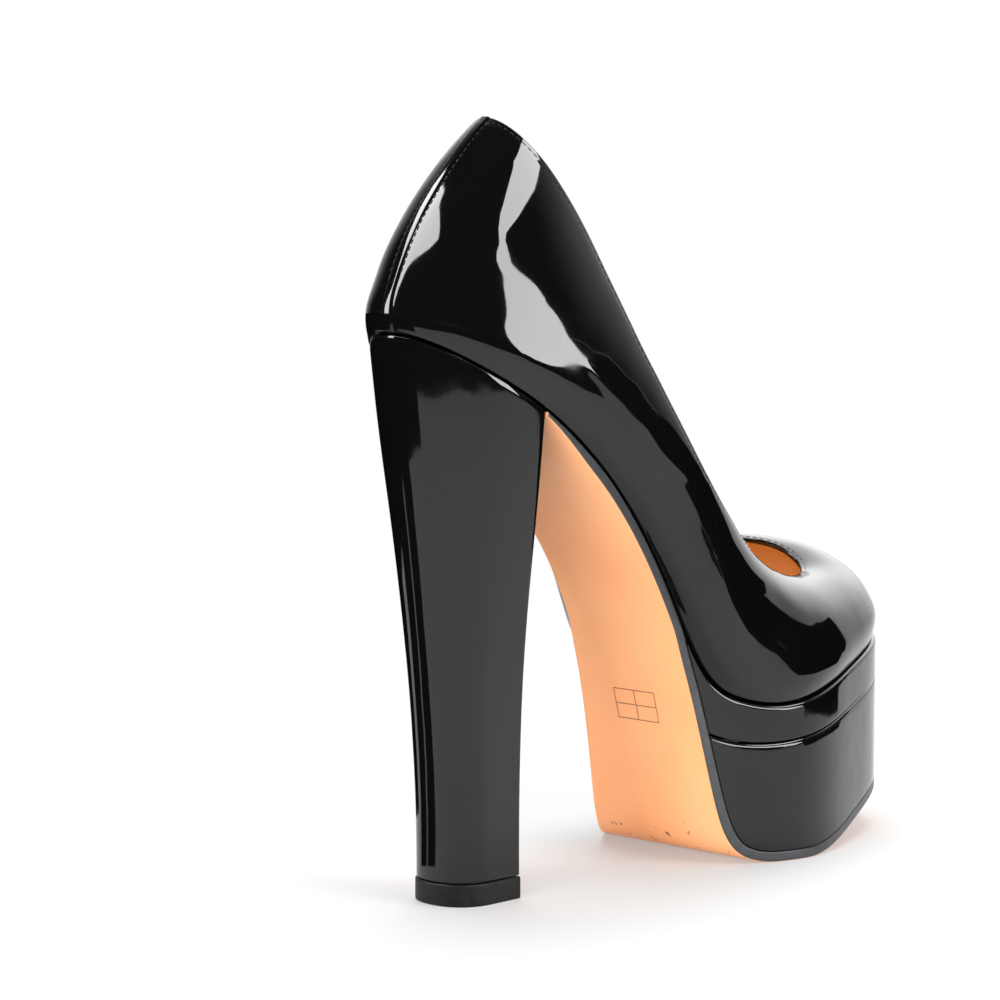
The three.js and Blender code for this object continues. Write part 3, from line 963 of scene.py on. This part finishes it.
# Outsole: rounds of its edge in millimetres, and how the paint runs over the rows of its two edges
sole_low_round = 0.6
sole_high_round = 0.2
tread_rows_bare = 2
top_rows_painted = 4


def build_outsole():
    columns, across, side_rows = sole_divisions
    section, side = slab_section(sole_low_round, sole_high_round, across, side_rows)
    painted = np.zeros(len(section), int)
    painted[tread_rows_bare : side + top_rows_painted] = 1
    inner_edge = side + across
    painted[inner_edge - top_rows_painted : inner_edge + side - round_steps - 1] = 1
    piece = slab(
        "outsole_leather",
        even_turns(turn_at(breast_place + gap), sole_bottom, columns),
        sole_margin,
        sole_bottom,
        lambda x: np.minimum(sole_top(x), bed(x) - bed_gap),
        section,
        [tan_sole, dark_edge],
        painted,
    )
    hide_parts("outsole")


def first_place(bottom, top):
    """Where a wedge that opens towards the toe is first as thick as the wall."""
    x = np.arange(breast_place, shoe_length, line_spacing)
    return x[np.argmax(top(x) - bottom(x) >= wall)]


tier_top_round = 1.3


def build_tiers():
    def upper_floor(x):
        return np.maximum(tier_floor(x), tier_line(x) + gap)

    def upper_top(x):
        return bed(x) - bed_gap

    tiers = [
        ("platform_tier_upper", "platform_upper_tier", upper_floor, upper_top, 0.5),
        ("platform_tier_lower", "platform_lower_tier", tier_floor, tier_line, 0.25),
    ]
    columns, across, side_rows = tier_divisions
    for name, node, bottom, top, low_round in tiers:
        turns = even_turns(turn_at(first_place(bottom, top)), sole_bottom, columns)
        section, _ = slab_section(low_round, tier_top_round, across, side_rows)
        piece = slab(name, turns, sole_margin, bottom, top, section, [tier_patent])
        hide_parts(node)


# Heel in millimetres: rounds of its foot and its seat, and a soft shoulder from that share of its height
heel_foot_round = 0.4
heel_edge_round = 1.0
shoulder = 0.2
shoulder_start = 0.985
heel_rows_up = 82
shoulder_rows = 11


def build_heel():
    bottom = lift_height + gap
    sine, cosine = quarter(5)
    foot = list(zip(sine, cosine))[1:]
    seat_inset = -shoulder - heel_edge_round
    rows = [(0, -heel_foot_round, 0, c) for c in (1, 0.7, 0.35, 0)]
    rows += [(0, -heel_foot_round * (1 - s), heel_foot_round * (1 - c), 0) for s, c in foot]
    rows += [(h, 0, 0, 0) for h in shoulder_start * between(heel_rows_up)]
    rising = np.arange(shoulder_rows) / shoulder_rows
    rows += [(mix(shoulder_start, 1, h), -shoulder * h * h, 0, 0) for h in rising]
    rows += [
        (1, -shoulder - heel_edge_round * (1 - c), -heel_edge_round * (1 - s), 0)
        for s, c in zip(sine, cosine)
    ]
    rows += [(1, seat_inset, 0, c) for c in (0.25, 0.5, 0.75, 1)]

    def top(x, height):
        return mix(bottom, bed(x) - bed_gap, height)

    piece = heel_piece("heel_block", np.array(rows), top, [patent], heel_waves)
    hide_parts("heel")


lift_round = 0.5
lift_rows_up = 6


def build_lift():
    sine, cosine = quarter(3)
    inset, high = lift_step - lift_round, lift_height - lift_round
    foot = list(zip(sine, cosine))[1:]
    rows = [(0, inset, 0, c) for c in (1, 0.6, 0.3, 0)]
    rows += [(0, lift_step - lift_round * (1 - s), lift_round * (1 - c), 0) for s, c in foot]
    rows += [(0, lift_step, z, 0) for z in mix(lift_round, high, between(lift_rows_up))]
    rows += [
        (0, lift_step - lift_round * (1 - c), lift_height - lift_round * (1 - s), 0)
        for s, c in zip(sine, cosine)
    ]
    rows += [(0, inset, lift_height, c) for c in (0.3, 0.6, 1)]
    piece = heel_piece("heel_lift", np.array(rows), lambda x, height: 0 * x, [black_rubber])
    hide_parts("top_lift")


# Stitches in millimetres: pitch, length and thickness
topline_stitch = (2.3, 1.75, 0.28)
seam_stitch = (2.2, 1.7, 0.36)

# How deep the rim's stitches lie at the back and round the throat, and between which turns that changes
sunk_at_back, sunk_at_throat = 0.04, 0.115
sunk_change = (0.15, 0.45)

# Stitches beside the back strip: how far from it, how high over the wall, and between which rises
beside_strip = 0.55
over_wall = 0.03
strip_rises = (0.02, 0.985)


def build_topline_stitches():
    turn = np.linspace(fine_step, 2 - fine_step, 6000)
    rise = 1 - stitch_depth / wall_speed(turn, 0 * turn + 1)
    sunk = mix(sunk_at_back, sunk_at_throat, smooth_step(np.minimum(turn, 2 - turn), *sunk_change))
    stitch_row("topline_stitches", turn, rise, -sunk, topline_stitch)


def build_seam_stitches():
    rise = np.linspace(*strip_rises, 800)
    speed = seam_distance(0 * rise + fine_step, rise) / fine_step
    turn = (seam_width / 2 + beside_strip) / speed
    above = 0 * rise + over_wall
    stitch_row("seam_stitches_outer", turn, rise, above, seam_stitch)
    stitch_row("seam_stitches_inner", -turn, rise, above, seam_stitch)


build_upper()
build_lining()
build_insole()
build_outsole()
build_tiers()
build_heel()
build_lift()
build_topline_stitches()
build_seam_stitches()


def studio_object(name, bm, finish):
    """Object of the studio from a bmesh; it isn't part of the shoe."""
    mesh = bpy.data.meshes.new(name)
    bm.to_mesh(mesh)
    bm.free()
    mesh.materials.append(finish)
    thing = bpy.data.objects.new(name, mesh)
    bpy.context.scene.collection.objects.link(thing)
    return thing


# Floor in metres: half its side, and the distances between which it brightens
floor_reach = 6.0
floor_brightens = (0.18, 0.75)


def build_floor():
    """Pale floor that brightens into the white background away from the shoe."""
    bm = bmesh.new()
    bmesh.ops.create_grid(bm, x_segments=1, y_segments=1, size=floor_reach)
    material, tree, near = nodes_of("studio_floor")
    near.inputs["Base Color"].default_value = (0.42, 0.42, 0.42, 1)
    near.inputs["Roughness"].default_value = 1.0
    near.inputs["Specular IOR Level"].default_value = 0.0
    near.inputs["Emission Color"].default_value = (1, 1, 1, 1)
    near.inputs["Emission Strength"].default_value = 0.27
    far = tree.nodes.new("ShaderNodeEmission")
    far.inputs["Color"].default_value = (1, 1, 1, 1)
    far.inputs["Strength"].default_value = 1.0
    coordinates = tree.nodes.new("ShaderNodeTexCoord")
    distance = tree.nodes.new("ShaderNodeVectorMath")
    distance.operation = "LENGTH"
    tree.links.new(coordinates.outputs["Object"], distance.inputs[0])
    blend = tree.nodes.new("ShaderNodeMixShader")
    tree.links.new(faded(tree, distance.outputs["Value"], *floor_brightens), blend.inputs["Fac"])
    tree.links.new(near.outputs["BSDF"], blend.inputs[1])
    tree.links.new(far.outputs["Emission"], blend.inputs[2])
    tree.links.new(blend.outputs["Shader"], tree.nodes["Material Output"].inputs["Surface"])
    floor = studio_object("studio_floor", bm, material)


# Camera of the photo: where it stands, how far it looks down and which way it looks
view_heading = math.atan2(0.7156, 0.6986)
view_pitch = math.radians(5.69)
camera_place = (-0.75826, -0.68392, 0.2098)
camera_lens = 123.3
camera_sensor = 36.0


def build_camera():
    data = bpy.data.cameras.new("photo_view")
    data.lens = camera_lens
    data.sensor_width = camera_sensor
    data.clip_start = 0.05
    camera = bpy.data.objects.new("photo_view", data)
    camera.location = camera_place
    camera.rotation_euler = (math.pi / 2 - view_pitch, 0, -view_heading)
    bpy.context.scene.collection.objects.link(camera)
    bpy.context.scene.camera = camera


shoe_middle = Vector((0, 0, 0.1))


def way_out(bearing, elevation):
    """Direction away from the shoe. bearing: degrees from the toe direction towards the inner side."""
    a, e = math.radians(bearing), math.radians(elevation)
    return Vector((math.cos(a) * math.cos(e), math.sin(a) * math.cos(e), math.sin(e)))


def fill_light(name, bearing, elevation, distance, width, height, radiance):
    """Light that brightens what is matt and isn't mirrored in the patent."""
    data = bpy.data.lights.new(name, "AREA")
    data.shape = "RECTANGLE"
    data.size = width
    data.size_y = height
    data.energy = radiance * math.pi * width * height
    light = bpy.data.objects.new(name, data)
    out = way_out(bearing, elevation)
    light.location = shoe_middle + out * distance
    light.rotation_euler = out.to_track_quat("Z", "Y").to_euler()
    light.visible_glossy = False
    bpy.context.scene.collection.objects.link(light)


# Fill lights: bearing, elevation, distance, width, height, radiance
fill_lights = {
    "overhead_fill": (60, 80, 1.90, 1.60, 1.60, 5.4),
    "right_fill": (-76, 30, 1.70, 0.90, 1.20, 6.4),
    "back_fill": (-160, 10, 1.70, 1.50, 1.00, 10.5),
}


# Bright cloths round the shoe that the patent mirrors: height, bearings of the two edges
right_cloth = [
    (0.02, -76, -60), (0.10, -80, -61), (0.20, -83, -64), (0.30, -85, -68), (0.40, -88, -75),
    (0.50, -91, -82), (0.60, -94, -86.5), (0.70, -96, -90), (0.78, -97, -92), (0.86, -98, -90),
    (0.93, -98, -78), (0.98, -98, -60), (1.05, -97, -44), (1.20, -96, -40), (1.40, -92, -40),
    (1.70, -86, -42), (2.10, -80, -46),
]
left_cloth = [
    (0.12, 136, 147), (0.35, 136, 150), (0.74, 134, 147), (0.83, 127, 148), (0.96, 117, 156),
    (1.00, 107, 160), (1.06, 100, 166), (1.19, 100, 174), (1.39, 110, 184), (1.62, 122, 170),
    (1.74, 130, 145),
]
cloth_distance = 0.95
cloth_radiance = 12.5


def bright_cloth(name, rows):
    """Lit cloth hung on a part of a circle round the shoe, seen only in what mirrors it."""
    bm = bmesh.new()
    bmesh.ops.create_grid(bm, x_segments=8, y_segments=len(rows) - 1, size=0.5)
    for vert in bm.verts:
        height, first, last = rows[round((vert.co.y + 0.5) * (len(rows) - 1))]
        bearing = math.radians(mix(first, last, vert.co.x + 0.5))
        vert.co = (cloth_distance * math.cos(bearing), cloth_distance * math.sin(bearing), height)
    material, tree, shader = nodes_of(name)
    shader.inputs["Base Color"].default_value = (0, 0, 0, 1)
    shader.inputs["Emission Color"].default_value = (1, 1, 1, 1)
    shader.inputs["Emission Strength"].default_value = cloth_radiance
    cloth = studio_object(name, bm, material)
    cloth.visible_camera = cloth.visible_diffuse = cloth.visible_shadow = False


def black_card(name, middle, bearings, radii, ends, finish):
    """Black sector lying on the floor or standing on it, which only darkens what the patent mirrors."""
    bm = bmesh.new()
    bmesh.ops.create_grid(bm, x_segments=1, y_segments=12, size=0.5)
    for vert in bm.verts:
        bearing = math.radians(mix(*bearings, vert.co.y + 0.5))
        radius, height = mix(*radii, vert.co.x + 0.5), mix(*ends, vert.co.x + 0.5)
        vert.co = (middle[0] + radius * math.cos(bearing), middle[1] + radius * math.sin(bearing), height)
    card = studio_object(name, bm, finish)
    card.visible_camera = card.visible_diffuse = card.visible_shadow = False


lying = (0.0006, 0.0006)
heel_middle = (-0.085, -0.004)
vamp_middle = (0.06, -0.035)

# Black cards, which end the white floor in the patent's mirror: middle, bearings, radii, heights
black_cards = {
    "card_outer_side": ((0, 0), (-186, -60), (0.66, 6), lying),
    "card_toe_side": (vamp_middle, (-62, -8), (0.24, 6), lying),
    "card_toe_standing": (vamp_middle, (-60, -6), (0.20, 0.21), (0.045, 0.135)),
    "card_left_far": (heel_middle, (60, 177), (0.42, 6), lying),
    "card_left_side": (heel_middle, (66, 97), (0.12, 0.42), lying),
    "card_left_slit": (heel_middle, (109, 130), (0.05, 0.42), lying),
    "card_left_back": (heel_middle, (133, 150), (0.05, 0.42), lying),
}


# Soft glows of the studio behind the shoe: bearing, elevation, where each ends and is full, strength
studio_glows = [(18, 14, 76, 20, 0.9), (28, 40, 44, 8, 2.0)]
studio_dimness = 0.010


def build_studio():
    for name, settings in fill_lights.items():
        fill_light(name, *settings)
    bright_cloth("right_cloth", right_cloth)
    bright_cloth("left_cloth", left_cloth)
    black, _, shader = nodes_of("black_card")
    shader.inputs["Base Color"].default_value = (0.001, 0.001, 0.001, 1)
    shader.inputs["Roughness"].default_value = 1.0
    shader.inputs["Specular IOR Level"].default_value = 0.0
    for name, settings in black_cards.items():
        black_card(name, *settings, black)
    world = bpy.data.worlds.new("studio")
    bpy.context.scene.world = world
    world.use_nodes = True
    tree = world.node_tree
    tree.nodes.clear()
    coordinates = tree.nodes.new("ShaderNodeTexCoord")
    glow = studio_dimness
    for bearing, elevation, edge, full, strength in studio_glows:
        facing = tree.nodes.new("ShaderNodeVectorMath")
        facing.operation = "DOT_PRODUCT"
        facing.inputs[1].default_value = way_out(bearing, elevation)
        tree.links.new(coordinates.outputs["Generated"], facing.inputs[0])
        sides = (math.cos(math.radians(angle)) for angle in (edge, full))
        glow = maths(tree, "ADD", faded(tree, facing.outputs["Value"], *sides, high=strength), glow)
    studio = tree.nodes.new("ShaderNodeBackground")
    tree.links.new(glow, studio.inputs["Strength"])
    backdrop = tree.nodes.new("ShaderNodeBackground")
    path = tree.nodes.new("ShaderNodeLightPath")
    blend = tree.nodes.new("ShaderNodeMixShader")
    tree.links.new(path.outputs["Is Camera Ray"], blend.inputs["Fac"])
    tree.links.new(studio.outputs["Background"], blend.inputs[1])
    tree.links.new(backdrop.outputs["Background"], blend.inputs[2])
    studio.inputs["Color"].default_value = (1, 1, 1, 1)
    backdrop.inputs["Color"].default_value = (1, 1, 1, 1)
    output = tree.nodes.new("ShaderNodeOutputWorld")
    tree.links.new(blend.outputs["Shader"], output.inputs["Surface"])
    bpy.context.scene.view_settings.view_transform = "Standard"


build_floor()
build_camera()
build_studio()
